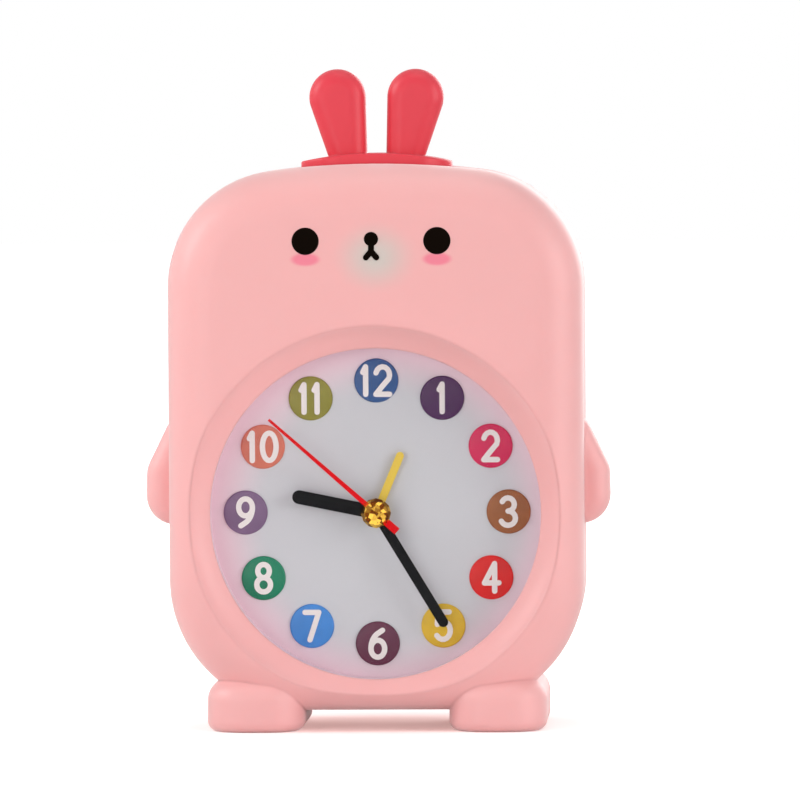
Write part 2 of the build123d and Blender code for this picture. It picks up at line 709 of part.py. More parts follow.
# Alarm on and off slider: contact plate in the movement, neck, ribbed thumb pad in the well
pad_y = well_floor_y + well_floor_t
with BuildPart() as alarm_slider:
    add(block(slider_x, slider_z, slider_w + 4, slider_h + 3, case_inner_y - 1.2, case_inner_y))
    add(block(slider_x, slider_z, slider_w, slider_h, case_inner_y, pad_y))
    add(block(slider_x, slider_z, slider_w + 5, slider_h + 3, pad_y, pad_y + 2.4, 1.0))
    for dx in (-2.4, 0.0, 2.4):
        add(block(slider_x + dx, slider_z, 0.9, slider_h + 3, pad_y + 1.9, pad_y + 2.4), mode=Mode.SUBTRACT)
alarm_slider.part.label = "alarm_slider"
export_step(alarm_slider.part, "parts/alarm_slider.step")

# Stepping motor: stator, core and coil
core_z = dial_z - 20.0
with BuildPart() as stator:
    with BuildSketch(axis_plane(0, dial_z, stator_y + stator_t)):
        with Locations((-17.0, -15.1)):
            Rectangle(6.0, 12.8)
        with Locations((-1.0, -9.0)):
            Rectangle(28.0, 3.4)
        with Locations((11.5, -14.4)):
            Rectangle(3.0, 14.2)
        with Locations((rotor_at[0], rotor_at[1] - dial_z)):
            Circle(4.6)
            Circle(magnet_r + 0.4, mode=Mode.SUBTRACT)
    extrude(amount=stator_t)
stator.part.label = "stator"
export_step(stator.part, "parts/stator.step")

with BuildPart() as coil_core:
    add(block(-3.5, core_z, 33.0, 3.0, stator_y - stator_t, stator_y))
coil_core.part.label = "coil_core"
export_step(coil_core.part, "parts/coil_core.step")

coil_y = stator_y - stator_t / 2
with BuildPart() as coil_bobbin:
    for x in (-8.5, 8.5):
        add(block(x, core_z, 1.0, 7.2, coil_y - 1.9, coil_y + 1.9))
    add(block(0, core_z, 16.0, 3.8, coil_y - 0.8, coil_y + 0.8))
    add(block(0, core_z, 18.0, 3.0, coil_y - stator_t / 2, coil_y + stator_t / 2), mode=Mode.SUBTRACT)
coil_bobbin.part.label = "coil_bobbin"
export_step(coil_bobbin.part, "parts/coil_bobbin.step")

with BuildPart() as coil_winding:
    add(block(0, core_z, 16.0, 6.4, coil_y - 1.6, coil_y + 1.6))
    fillet(coil_winding.edges().filter_by(Axis.X), 1.2)
    add(block(0, core_z, 16.0, 3.8, coil_y - 0.8, coil_y + 0.8), mode=Mode.SUBTRACT)
coil_winding.part.label = "coil_winding"
export_step(coil_winding.part, "parts/coil_winding.step")

with BuildPart() as circuit_board:
    add(block(20.5, dial_z - 19.5, 11.0, 13.0, pcb_y, pcb_y + pcb_t))
circuit_board.part.label = "circuit_board"
export_step(circuit_board.part, "parts/circuit_board.step")

with BuildPart() as drive_chip:
    with BuildSketch(axis_plane(22.5, dial_z - 17.0, pcb_y)):
        Circle(2.4)
    extrude(amount=0.9)
    fillet(drive_chip.edges().group_by(Axis.Y)[0], 0.6)
drive_chip.part.label = "drive_chip"
export_step(drive_chip.part, "parts/drive_chip.step")

with BuildPart() as crystal:
    with BuildSketch(Plane(origin=(17.5, pcb_y - 1.0, dial_z - 25.0))):
        Circle(1.0)
    extrude(amount=6.0)
crystal.part.label = "crystal"
export_step(crystal.part, "parts/crystal.step")

# Ear button: cap with two ears, holding flange and press stem, in one moulding
ear_solids = []
for side in (-1, 1):
    with BuildPart() as ear:
        with BuildSketch(facing(ear_t / 2)):
            for x, z, r in (ear_top, ear_low):
                with Locations((side * x, z)):
                    Circle(r)
            make_hull()
        extrude(amount=ear_t)
        fillet(ear.edges().group_by(Axis.Y)[0], ear_round)
        fillet(ear.edges().group_by(Axis.Y)[-1], ear_round)
        split(bisect_by=Plane.XY.offset(body_top + ear_cap_h / 2), keep=Keep.TOP)
    ear_solids.append(ear.part)

ceiling_r = crown_r - wall
flange_drop = ceiling_r - math.sqrt(ceiling_r ** 2 - (ear_cap_w / 2 + ear_flange) ** 2)
flange_top = body_top - wall - flange_drop - ear_stop_gap
with BuildPart() as ear_button:
    with BuildSketch(Plane.XY.offset(flange_top)):
        SlotOverall(ear_cap_w, ear_cap_d)
    extrude(amount=body_top + ear_cap_h - flange_top)
    add(rod(0, body_top + ear_cap_h - ear_arch_r, ear_arch_r, -ear_cap_d, ear_cap_d), mode=Mode.INTERSECT)
    fillet(ear_button.faces().sort_by(Axis.Z)[-1].edges(), ear_edge_r)
    with BuildSketch(Plane.XY.offset(flange_top - ear_flange_t)):
        SlotOverall(ear_cap_w + 2 * ear_flange, ear_cap_d + 2 * ear_flange)
    extrude(amount=ear_flange_t)
    with BuildSketch(Plane.XY.offset(stem_bottom)):
        Circle(stem_r)
    extrude(amount=flange_top - ear_flange_t - stem_bottom)
    add(ear_solids)
ear_button.part.label = "ear_button"
export_step(ear_button.part, "parts/ear_button.step")

# Snooze switch under the stem
board_top = shelf_z + board_t
with BuildPart() as switch_board:
    add(upright(18.0, 12.0, shelf_z, board_top))
    for x in board_screws_at:
        add(pin(x, 0, board_screw_r + 0.2, shelf_z, board_top), mode=Mode.SUBTRACT)
switch_board.part.label = "switch_board"
export_step(switch_board.part, "parts/switch_board.step")

with BuildPart() as snooze_switch:
    add(upright(switch_w, switch_w, board_top, board_top + switch_h))
    add(pin(0, 0, plunger_r + run_fit, board_top + 0.3, board_top + switch_h), mode=Mode.SUBTRACT)
snooze_switch.part.label = "snooze_switch"
export_step(snooze_switch.part, "parts/snooze_switch.step")

with BuildPart() as switch_plunger:
    add(pin(0, 0, plunger_r, stem_bottom - plunger_len, stem_bottom))
switch_plunger.part.label = "switch_plunger"
export_step(switch_plunger.part, "parts/switch_plunger.step")

with BuildPart() as board_screws:
    for x in board_screws_at:
        add(pin(x, 0, board_screw_r, shelf_z - shelf_t + 0.2, board_top))
        add(pin(x, 0, board_screw_r + 0.8, board_top, board_top + 1.2))
board_screws.part.label = "board_screws"
export_step(board_screws.part, "parts/board_screws.step")

with BuildPart() as buzzer:
    add(rod(0, buzzer_z, buzzer_r, half - wall - buzzer_t, half - wall))
    add(rod(0, buzzer_z, 1.2, half - wall - buzzer_t, half - wall - buzzer_t + 0.8), mode=Mode.SUBTRACT)
buzzer.part.label = "buzzer"
export_step(buzzer.part, "parts/buzzer.step")

# Battery, contacts and cover
cell_y = bay_floor_y + cell_r
cell_x0 = leaf_room - bay_w / 2
with BuildPart() as battery:
    with BuildSketch(Plane(origin=(cell_x0, cell_y, bay_z), x_dir=(0, 1, 0), z_dir=(1, 0, 0))):
        Circle(cell_r)
    extrude(amount=cell_len)
    fillet(battery.edges(), 0.5)
    with BuildSketch(Plane(origin=(cell_x0 + cell_len, cell_y, bay_z), x_dir=(0, 1, 0), z_dir=(1, 0, 0))):
        Circle(nub_r)
    extrude(amount=nub_len)
battery.part.label = "battery"
export_step(battery.part, "parts/battery.step")

with BuildPart() as contact_plus:
    add(block(bay_w / 2 - contact_t / 2, bay_z, contact_t, contact_size,
              cell_y - contact_size / 2, cell_y + contact_size / 2))
    nub_end = cell_x0 + cell_len + nub_len
    with BuildSketch(Plane(origin=(nub_end, cell_y, bay_z), x_dir=(0, 1, 0), z_dir=(1, 0, 0))):
        Circle(1.6)
    extrude(amount=bay_w / 2 - contact_t - nub_end)
contact_plus.part.label = "contact_plus"
export_step(contact_plus.part, "parts/contact_plus.step")

leaf_x = contact_t - bay_w / 2
with BuildPart() as contact_minus:
    add(block(-bay_w / 2 + contact_t / 2, bay_z, contact_t, contact_size,
              cell_y - contact_size / 2, cell_y + contact_size / 2))
    with BuildSketch(axis_plane(0, bay_z, cell_y + 3.0)):
        with BuildLine():
            Polyline((leaf_x, 4.6), (cell_x0, 0.6), (cell_x0, -0.6), (leaf_x, -4.6),
                     (leaf_x, -4.0), (cell_x0 - contact_t, 0), (leaf_x, 4.0), close=True)
        make_face()
    extrude(amount=6.0)
contact_minus.part.label = "contact_minus"
export_step(contact_minus.part, "parts/contact_minus.step")

with BuildPart() as battery_cover:
    add(block(0, bay_z, cover_w, cover_h, half - cover_t, half, cover_r))
    for x in (-12.0, 12.0):
        add(block(x, bay_z, 1.6, 8.0, cell_y + cell_r, half - cover_t))
    for dz in (-2.4, 0.0, 2.4):
        add(block(26.0, bay_z + dz, 7.0, 1.0, half - 0.6, half), mode=Mode.SUBTRACT)
battery_cover.part.label = "battery_cover"
export_step(battery_cover.part, "parts/battery_cover.step")

# Screws, each kind as one group
with BuildPart() as case_screws:
    for x, z in case_screws_at:
        add(rod(x, z, screw_r, parting_y - 11, case_seat_y))
        add(rod(x, z, head_r, case_seat_y, case_seat_y + head_t))
        add(block(x, z, 3.2, 0.7, case_seat_y + head_t - 0.8, case_seat_y + head_t), mode=Mode.SUBTRACT)
        add(block(x, z, 0.7, 3.2, case_seat_y + head_t - 0.8, case_seat_y + head_t), mode=Mode.SUBTRACT)
case_screws.part.label = "case_screws"
export_step(case_screws.part, "parts/case_screws.step")

move_seat_y = plate_back_y + case_t
with BuildPart() as movement_screws:
    for x, z in move_bosses:
        add(rod(x, z, screw_r, tray_back_y - 6, move_seat_y))
        add(rod(x, z, head_r, move_seat_y, move_seat_y + head_t))
movement_screws.part.label = "movement_screws"
export_step(movement_screws.part, "parts/movement_screws.step")
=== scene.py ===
import json
import math

import bmesh
import bpy
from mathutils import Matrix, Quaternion, Vector


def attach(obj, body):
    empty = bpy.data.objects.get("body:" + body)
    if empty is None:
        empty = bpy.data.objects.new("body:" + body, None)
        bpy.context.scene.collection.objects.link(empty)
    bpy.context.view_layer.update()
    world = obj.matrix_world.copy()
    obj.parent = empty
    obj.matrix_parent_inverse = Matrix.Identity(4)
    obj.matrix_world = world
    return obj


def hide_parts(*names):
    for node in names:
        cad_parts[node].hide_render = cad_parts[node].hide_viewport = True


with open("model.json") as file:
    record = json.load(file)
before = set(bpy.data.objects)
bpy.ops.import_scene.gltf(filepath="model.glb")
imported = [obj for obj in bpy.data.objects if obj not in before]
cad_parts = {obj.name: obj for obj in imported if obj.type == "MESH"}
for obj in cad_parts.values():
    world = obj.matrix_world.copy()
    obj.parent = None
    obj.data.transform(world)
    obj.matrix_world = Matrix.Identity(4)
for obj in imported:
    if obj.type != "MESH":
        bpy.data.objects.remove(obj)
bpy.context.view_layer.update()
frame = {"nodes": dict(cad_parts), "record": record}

NODES = frame["nodes"]
MM = 0.001

# Places on the clock, in metres
DIAL_Z = 52.1 * MM
DIAL_Y = -10.8 * MM
DIAL_R = 39.6 * MM
FRONT_Y = -25.0 * MM
NUMBER_RING = 31.6 * MM
NUMBER_R = 5.3 * MM
NUMBER_T = 0.5 * MM
FACE_X = -0.4 * MM
EYE_X = 15.7 * MM
EYE_Z = 117.45 * MM
EYE_R = 3.25 * MM
CHEEK_Z = 113.1 * MM
NOSE_Z = 117.9 * MM
MOUTH_Z = 115.0 * MM
NOSE_R = 1.7 * MM
MOUTH_LINE = 1.4 * MM
MOUTH_REACH = 1.25 * MM
MOUTH_DROP = 1.5 * MM
CHEEK_W = 4.2 * MM
CHEEK_H = 1.9 * MM
MUZZLE_X = 0.6 * MM
MUZZLE_Z = 113.6 * MM
MUZZLE_W = 11.2 * MM
MUZZLE_H = 9.6 * MM
FRONT_DEEPEST = FRONT_Y + 2.0 * MM
PRINT_T = 0.04 * MM
LAYER = 0.02 * MM


def srgb(r, g, b):
    out = []
    for v in (r, g, b):
        c = v / 255.0
        out.append(c / 12.92 if c <= 0.04045 else ((c + 0.055) / 1.055) ** 2.4)
    return (out[0], out[1], out[2], 1.0)


def scaled(colour, k):
    return (min(colour[0] * k, 1.0), min(colour[1] * k, 1.0), min(colour[2] * k, 1.0), 1.0)


# Materials
def blank(name):
    mat = bpy.data.materials.new(name)
    mat.use_nodes = True
    mat.node_tree.nodes.clear()
    return mat, mat.node_tree


def add(tree, kind, **sockets):
    n = tree.nodes.new(kind)
    for key, value in sockets.items():
        n.inputs[key.replace("_", " ")].default_value = value
    return n


def link(tree, a, b):
    tree.links.new(a, b)


def maths(tree, operation, first, second=None):
    """A maths node; each input is a socket to follow or a fixed number."""
    n = tree.nodes.new("ShaderNodeMath")
    n.operation = operation
    for socket, value in zip(n.inputs, (first, second)):
        if isinstance(value, float):
            socket.default_value = value
        elif value is not None:
            link(tree, value, socket)
    return n.outputs[0]


def coated(name, colour, rough, metal=0.0, mottle=0.04, mottle_scale=60.0, grain=0.06, grain_scale=2600.0,
           coat=0.0, soft=0.0, bevel=0.0, spec=0.5):
    """A moulded, painted or plated finish: slight mottling of the colour and a fine grain in the surface."""
    mat, tree = blank(name)
    out = add(tree, "ShaderNodeOutputMaterial")
    bsdf = add(tree, "ShaderNodeBsdfPrincipled", Metallic=metal, Coat_Weight=coat, Coat_Roughness=0.2,
               Specular_IOR_Level=spec)
    coords = add(tree, "ShaderNodeTexCoord")
    cloud = add(tree, "ShaderNodeTexNoise", Scale=mottle_scale, Detail=3.0)
    ramp = add(tree, "ShaderNodeValToRGB")
    ramp.color_ramp.elements[0].position = 0.3
    ramp.color_ramp.elements[1].position = 0.7
    ramp.color_ramp.elements[0].color = scaled(colour, 1.0 - mottle)
    ramp.color_ramp.elements[1].color = scaled(colour, 1.0 + mottle)
    fine = add(tree, "ShaderNodeTexNoise", Scale=grain_scale, Detail=2.0)
    bump = add(tree, "ShaderNodeBump", Strength=grain, Distance=0.0002)
    spread = add(tree, "ShaderNodeMapRange", To_Min=rough - 0.04, To_Max=rough + 0.04)
    link(tree, coords.outputs["Object"], cloud.inputs["Vector"])
    link(tree, coords.outputs["Object"], fine.inputs["Vector"])
    link(tree, cloud.outputs["Fac"], ramp.inputs["Fac"])
    link(tree, ramp.outputs["Color"], bsdf.inputs["Base Color"])
    link(tree, cloud.outputs["Fac"], spread.inputs["Value"])
    link(tree, spread.outputs["Result"], bsdf.inputs["Roughness"])
    link(tree, fine.outputs["Fac"], bump.inputs["Height"])
    link(tree, bump.outputs["Normal"], bsdf.inputs["Normal"])
    if bevel > 0.0:
        round_edge = tree.nodes.new("ShaderNodeBevel")
        round_edge.samples = 6
        round_edge.inputs["Radius"].default_value = bevel
        link(tree, round_edge.outputs["Normal"], bump.inputs["Normal"])
    if soft > 0.0:
        bsdf.inputs["Subsurface Weight"].default_value = soft
        bsdf.inputs["Subsurface Radius"].default_value = (1.0, 0.45, 0.4)
        bsdf.inputs["Subsurface Scale"].default_value = 0.003
    link(tree, bsdf.outputs["BSDF"], out.inputs["Surface"])
    return mat, tree, bsdf, ramp, coords


def patch_mask(tree, coords, x, z, half_w, half_h, core, edge, deepest=FRONT_DEEPEST):
    """1 inside an oval seen from the front, fading to 0 at its edge and on all that lies deeper."""
    split = add(tree, "ShaderNodeSeparateXYZ")
    link(tree, coords.outputs["Object"], split.inputs["Vector"])
    squares = []
    for axis, centre, size in (("X", x, half_w), ("Z", z, half_h)):
        share = maths(tree, "DIVIDE", maths(tree, "SUBTRACT", split.outputs[axis], centre), size)
        squares.append(maths(tree, "MULTIPLY", share, share))
    away = maths(tree, "SQRT", maths(tree, "ADD", squares[0], squares[1]))
    fade = add(tree, "ShaderNodeMapRange", From_Min=core, From_Max=edge, To_Min=1.0, To_Max=0.0)
    fade.interpolation_type = "SMOOTHSTEP"
    link(tree, away, fade.inputs["Value"])
    front = maths(tree, "LESS_THAN", split.outputs["Y"], deepest)
    return maths(tree, "MULTIPLY", fade.outputs["Result"], front)


def tinted(tree, under, mask, colour, strength):
    """The colour underneath, mixed with another one where the mask is 1."""
    mix = tree.nodes.new("ShaderNodeMix")
    mix.data_type = "RGBA"
    mix.inputs["B"].default_value = colour
    link(tree, maths(tree, "MULTIPLY", mask, strength), mix.inputs["Factor"])
    link(tree, under, mix.inputs["A"])
    return mix.outputs["Result"]


PINK = srgb(241, 176, 175)
body_mat, body_tree, body_bsdf, body_ramp, body_coords = coated(
    "body_pink", PINK, 0.46, mottle=0.015, mottle_scale=35.0, grain=0.05, soft=0.15, bevel=0.0012)
# Airbrushed muzzle glow and cheeks on the front of the body
skin = body_ramp.outputs["Color"]
glow = patch_mask(body_tree, body_coords, MUZZLE_X, MUZZLE_Z, MUZZLE_W, MUZZLE_H, 0.05, 1.0)
skin = tinted(body_tree, skin, glow, srgb(203, 196, 188), 0.95)
for side in (-1, 1):
    cheek = patch_mask(body_tree, body_coords, FACE_X + side * EYE_X, CHEEK_Z, CHEEK_W, CHEEK_H, 0.55, 1.0)
    skin = tinted(body_tree, skin, cheek, srgb(241, 124, 146), 0.95)
link(body_tree, skin, body_bsdf.inputs["Base Color"])
# Pale bloom of the soft-touch paint
body_bsdf.inputs["Sheen Weight"].default_value = 0.5
body_bsdf.inputs["Sheen Roughness"].default_value = 0.5

plain_pink = coated("cover_pink", PINK, 0.46, mottle=0.015, mottle_scale=35.0, grain=0.05)[0]
ear_mat = coated("ear_red", srgb(224, 63, 77), 0.42, mottle=0.02, mottle_scale=50.0, grain=0.05, soft=0.1,
                 bevel=0.0006, spec=0.35)[0]
black_mat = coated("hand_black", srgb(15, 15, 18), 0.42, mottle=0.15, grain=0.03, spec=0.1)[0]
red_mat = coated("hand_red", srgb(224, 8, 20), 0.38, mottle=0.05, grain=0.02, spec=0.1)[0]
yellow_mat = coated("hand_yellow", srgb(236, 205, 84), 0.4, mottle=0.05, grain=0.02, spec=0.2)[0]
eye_mat = coated("eye_print", srgb(13, 7, 4), 0.5, mottle=0.2, grain=0.02, spec=0.015)[0]
number_ink = coated("number_ink", srgb(240, 236, 234), 0.4, mottle=0.03, grain=0.03, spec=0.2)[0]
move_mat = coated("movement_plastic", srgb(224, 224, 220), 0.5)[0]
wheel_mat = coated("wheel_plastic", srgb(240, 238, 230), 0.45)[0]
magnet_mat = coated("magnet_dark", srgb(70, 70, 74), 0.4, metal=0.6)[0]
brass_mat = coated("pipe_brass", srgb(214, 176, 92), 0.3, metal=1.0)[0]
knob_mat = coated("knob_white", srgb(242, 236, 232), 0.4, mottle=0.02, coat=0.1)[0]
stator_mat = coated("stator_steel", srgb(188, 188, 192), 0.35, metal=1.0)[0]
copper_mat = coated("copper_wire", srgb(196, 112, 62), 0.35, metal=1.0, grain=0.6, grain_scale=4000.0)[0]
board_mat = coated("board_green", srgb(40, 110, 70), 0.45, mottle=0.15)[0]
chip_mat = coated("chip_black", srgb(34, 34, 36), 0.5, mottle=0.15)[0]
can_mat = coated("can_metal", srgb(216, 216, 218), 0.25, metal=1.0)[0]
screw_mat = coated("screw_steel", srgb(186, 186, 190), 0.32, metal=1.0, grain=0.2)[0]
cell_mat = coated("battery_wrap", srgb(56, 112, 92), 0.35, mottle=0.1, coat=0.2)[0]

# Dial: grey-white print in the middle; the lavender pink towards the rim is painted pink bounce light from
# the recess wall, centred a little right of and below the middle
dial_mat, dial_tree, dial_bsdf, dial_ramp, dial_coords = coated(
    "dial_white", srgb(210, 213, 218), 0.5, mottle=0.012, mottle_scale=40.0, grain=0.03, spec=0.2)
middle = patch_mask(dial_tree, dial_coords, 2.0 * MM, DIAL_Z - 1.0 * MM, DIAL_R, DIAL_R, 0.72, 1.06,
                    deepest=0.0)
# Painted pink reflection of the recess wall on the dial's outer band
painted_bounce_mask = maths(dial_tree, "SUBTRACT", 1.0, middle)
dial_with_painted_bounce = tinted(dial_tree, dial_ramp.outputs["Color"], painted_bounce_mask, srgb(250, 214, 226), 0.8)
link(dial_tree, dial_with_painted_bounce, dial_bsdf.inputs["Base Color"])


def gold_material():
    """Bright gold with small hammered facets, some of them dark."""
    mat, tree, bsdf, ramp, coords = coated("cap_gold", srgb(232, 176, 52), 0.2, metal=1.0)
    cells = add(tree, "ShaderNodeTexVoronoi", Scale=950.0)
    facets = add(tree, "ShaderNodeBump", Strength=0.9, Distance=0.0008)
    tone = add(tree, "ShaderNodeValToRGB")
    tone.color_ramp.elements[0].position = 0.25
    tone.color_ramp.elements[1].position = 0.85
    tone.color_ramp.elements[0].color = srgb(112, 56, 14)
    tone.color_ramp.elements[1].color = srgb(255, 206, 84)
    split = add(tree, "ShaderNodeSeparateColor")
    link(tree, coords.outputs["Object"], cells.inputs["Vector"])
    link(tree, cells.outputs["Color"], split.inputs["Color"])
    link(tree, split.outputs["Red"], tone.inputs["Fac"])
    link(tree, split.outputs["Green"], facets.inputs["Height"])
    link(tree, tone.outputs["Color"], bsdf.inputs["Base Color"])
    link(tree, facets.outputs["Normal"], bsdf.inputs["Normal"])
    return mat


gold_mat = gold_material()
LENS_SHINE = 0.3


def lens_material():
    """Clear plastic with a faint, slightly uneven reflection."""
    mat, tree = blank("clear_lens")
    out = add(tree, "ShaderNodeOutputMaterial")
    clear = add(tree, "ShaderNodeBsdfTransparent")
    gloss = add(tree, "ShaderNodeBsdfGlossy", Roughness=0.06)
    facing = add(tree, "ShaderNodeFresnel", IOR=1.35)
    coords = add(tree, "ShaderNodeTexCoord")
    haze = add(tree, "ShaderNodeTexNoise", Scale=25.0, Detail=2.0)
    uneven = maths(tree, "MULTIPLY", facing.outputs["Fac"], haze.outputs["Fac"])
    mix = add(tree, "ShaderNodeMixShader")
    link(tree, coords.outputs["Object"], haze.inputs["Vector"])
    link(tree, maths(tree, "MULTIPLY", uneven, LENS_SHINE), mix.inputs["Fac"])
    link(tree, clear.outputs["BSDF"], mix.inputs[1])
    link(tree, gloss.outputs["BSDF"], mix.inputs[2])
    link(tree, mix.outputs["Shader"], out.inputs["Surface"])
    return mat


lens_mat = lens_material()

BY_SLOT = {
    "body_pink": body_mat, "clear_lens": lens_mat, "dial_white": dial_mat, "hand_yellow": yellow_mat,
    "hand_black": black_mat, "hand_red": red_mat, "cap_gold": gold_mat, "movement_plastic": move_mat,
    "wheel_plastic": wheel_mat, "magnet_dark": magnet_mat, "pipe_brass": brass_mat, "knob_white": knob_mat,
    "stator_steel": stator_mat, "copper_wire": copper_mat, "board_green": board_mat, "chip_black": chip_mat,
    "can_metal": can_mat, "ear_red": ear_mat, "screw_steel": screw_mat, "battery_wrap": cell_mat,
    "number_colours": number_ink,
}
for entry in frame["record"]["subparts"]:
    obj = NODES[entry["node"]]
    obj.data.materials.clear()
    obj.data.materials.append(BY_SLOT[entry["material_slot"]])
NODES["battery_cover"].data.materials[0] = plain_pink


# Mesh helpers: every flat print lies in a plane of constant depth and faces the front
def mesh_piece(name, bm, mat, body="case"):
    data = bpy.data.meshes.new(name)
    bm.normal_update()
    bm.to_mesh(data)
    bm.free()
    obj = bpy.data.objects.new(name, data)
    bpy.context.scene.collection.objects.link(obj)
    data.materials.append(mat)
    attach(obj, body)
    return obj


def prism(bm, outline, y_back, y_front):
    """Flat shape with a thickness; outline is a list of (x, z), counter-clockwise seen from the front."""
    back = [bm.verts.new((x, y_back, z)) for x, z in outline]
    front = [bm.verts.new((x, y_front, z)) for x, z in outline]
    n = len(outline)
    bm.faces.new(front)
    for i in range(n):
        bm.faces.new((back[i], back[(i + 1) % n], front[(i + 1) % n], front[i]))


def circle(x, z, r, count=48):
    return [(x + r * math.cos(2 * math.pi * i / count), z + r * math.sin(2 * math.pi * i / count))
            for i in range(count)]


def sides(path, width, closed):
    """The points half a width to the right and to the left of a smooth path."""
    right, left = [], []
    n = len(path)
    for i, (x, z) in enumerate(path):
        before = path[i - 1] if closed or i > 0 else path[i]
        after = path[(i + 1) % n] if closed or i < n - 1 else path[i]
        dx, dz = after[0] - before[0], after[1] - before[1]
        k = width / 2 / math.hypot(dx, dz)
        right.append((x + dz * k, z - dx * k))
        left.append((x - dz * k, z + dx * k))
    return right, left


def round_end(centre, start, count=8):
    """Points of the half circle that goes on counter-clockwise from start round the centre."""
    r = math.hypot(start[0] - centre[0], start[1] - centre[1])
    a = math.atan2(start[1] - centre[1], start[0] - centre[0])
    turns = [a + math.pi * i / count for i in range(1, count)]
    return [(centre[0] + r * math.cos(t), centre[1] + r * math.sin(t)) for t in turns]


def line(bm, path, width, y_back, y_front):
    """A smooth line of even width with round ends."""
    right, left = sides(path, width, False)
    outline = right + round_end(path[-1], right[-1]) + left[::-1] + round_end(path[0], left[0])
    prism(bm, outline, y_back, y_front)


def ring(bm, path, width, y_back, y_front):
    """A closed smooth line of even width."""
    right, left = sides(path, width, True)
    n = len(path)
    loops = [[bm.verts.new((x, y, z)) for x, z in pts]
             for pts, y in ((right, y_back), (right, y_front), (left, y_front), (left, y_back))]
    for a, b in zip(loops, loops[1:]):
        for i in range(n):
            bm.faces.new((a[i], a[(i + 1) % n], b[(i + 1) % n], b[i]))


def arc(cx, cz, rx, rz, start, end, count=9):
    """Points on an oval from one angle to another, in degrees."""
    turns = [math.radians(start + (end - start) * i / (count - 1)) for i in range(count)]
    return [(cx + rx * math.cos(t), cz + rz * math.sin(t)) for t in turns]


# Face print, each stroke a hair above the one before
bm = bmesh.new()
for side in (-1, 1):
    prism(bm, circle(FACE_X + side * EYE_X, EYE_Z, EYE_R), FRONT_Y, FRONT_Y - PRINT_T)
mesh_piece("eye_print", bm, eye_mat)
bm = bmesh.new()
prism(bm, circle(FACE_X, NOSE_Z, NOSE_R, 32), FRONT_Y, FRONT_Y - PRINT_T)
line(bm, [(FACE_X, NOSE_Z), (FACE_X, MOUTH_Z)], MOUTH_LINE, FRONT_Y, FRONT_Y - PRINT_T - LAYER)
for side, lift in ((-1, 2), (1, 3)):
    corner = (FACE_X + side * MOUTH_REACH, MOUTH_Z - MOUTH_DROP)
    line(bm, [(FACE_X, MOUTH_Z), corner], MOUTH_LINE, FRONT_Y, FRONT_Y - PRINT_T - lift * LAYER)
mesh_piece("nose_print", bm, eye_mat)

# Number discs: colours follow the dial, the numerals stand a little proud of each disc
DISC_COLOURS = {
    12: (54, 90, 146), 1: (76, 38, 86), 2: (214, 44, 92), 3: (156, 96, 58),
    4: (224, 34, 34), 5: (222, 184, 52), 6: (100, 50, 73), 7: (72, 140, 216),
    8: (30, 130, 96), 9: (128, 102, 136), 10: (212, 120, 100), 11: (144, 140, 58),
}
# Strokes of each digit in a box one unit wide and high; a closed stroke is marked by True
DIGITS = {
    "0": [(arc(0.5, 0.5, 0.5, 0.5, 0, 345, 24), True)],
    "1": [([(0.5, 0.0), (0.5, 1.0)], False), ([(0.5, 1.0), (0.0, 0.8)], False)],
    "2": [([*arc(0.5, 0.70, 0.5, 0.30, 165, -25), (0.45, 0.28), (0.0, 0.0)], False),
          ([(0.0, 0.0), (1.0, 0.0)], False)],
    "3": [(arc(0.46, 0.76, 0.46, 0.24, 155, -90, 12), False),
          (arc(0.46, 0.26, 0.54, 0.26, 90, -155, 12), False)],
    "4": [([(0.74, 0.0), (0.74, 1.0)], False), ([(0.74, 1.0), (0.0, 0.3)], False),
          ([(0.0, 0.3), (1.05, 0.3)], False)],
    "5": [([(0.92, 1.0), (0.12, 1.0)], False), ([(0.12, 1.0), (0.06, 0.56)], False),
          (arc(0.46, 0.33, 0.54, 0.33, 138, -145, 14), False)],
    "6": [(arc(0.5, 0.31, 0.5, 0.31, 0, 345, 24), True),
          ([(0.85, 0.98), *arc(0.9, 0.31, 0.9, 0.62, 112, 176)], False)],
    "7": [([(0.0, 1.0), (1.0, 1.0)], False), ([(1.0, 1.0), (0.35, 0.0)], False)],
    "8": [(arc(0.5, 0.76, 0.42, 0.24, 0, 345, 24), True), (arc(0.5, 0.26, 0.5, 0.26, 0, 345, 24), True)],
    "9": [(arc(0.5, 0.69, 0.5, 0.31, 0, 345, 24), True),
          ([(0.15, 0.02), *arc(0.1, 0.69, 0.9, 0.62, 292, 356)], False)],
}
DIGIT_W = {"1": 0.42}
TALL = 6.6 * MM
WIDE = 3.3 * MM
LINE = 1.3 * MM
SPACE = 1.75 * MM
NUMBER_RISE = 0.15 * MM
DISC_SIDES = 56


def numeral(bm, text, cx, cz, y_back, y_front):
    """The digits of a number side by side, centred on a point of the dial."""
    widths = [WIDE * DIGIT_W.get(ch, 1.0) for ch in text]
    x = cx - (sum(widths) + SPACE * (len(text) - 1)) / 2
    for ch, w in zip(text, widths):
        for lift, (path, closed) in enumerate(DIGITS[ch]):
            points = [(x + px * w, cz - TALL / 2 + pz * TALL) for px, pz in path]
            draw = ring if closed else line
            draw(bm, points, LINE, y_back, y_front - lift * LAYER)
        x += w + SPACE


def disc_mesh(x, z):
    """Low round button with a softened edge."""
    bm = bmesh.new()
    rings = [(NUMBER_R, DIAL_Y), (NUMBER_R, DIAL_Y - NUMBER_T * 0.55),
             (NUMBER_R * 0.97, DIAL_Y - NUMBER_T * 0.85), (NUMBER_R * 0.92, DIAL_Y - NUMBER_T)]
    loops = [[bm.verts.new((px, y, pz)) for px, pz in circle(x, z, r, DISC_SIDES)] for r, y in rings]
    for a, b in zip(loops, loops[1:]):
        for i in range(DISC_SIDES):
            after = (i + 1) % DISC_SIDES
            bm.faces.new((a[i], a[after], b[after], b[i]))
    bm.faces.new(loops[-1])
    for f in bm.faces:
        f.smooth = True
    return bm


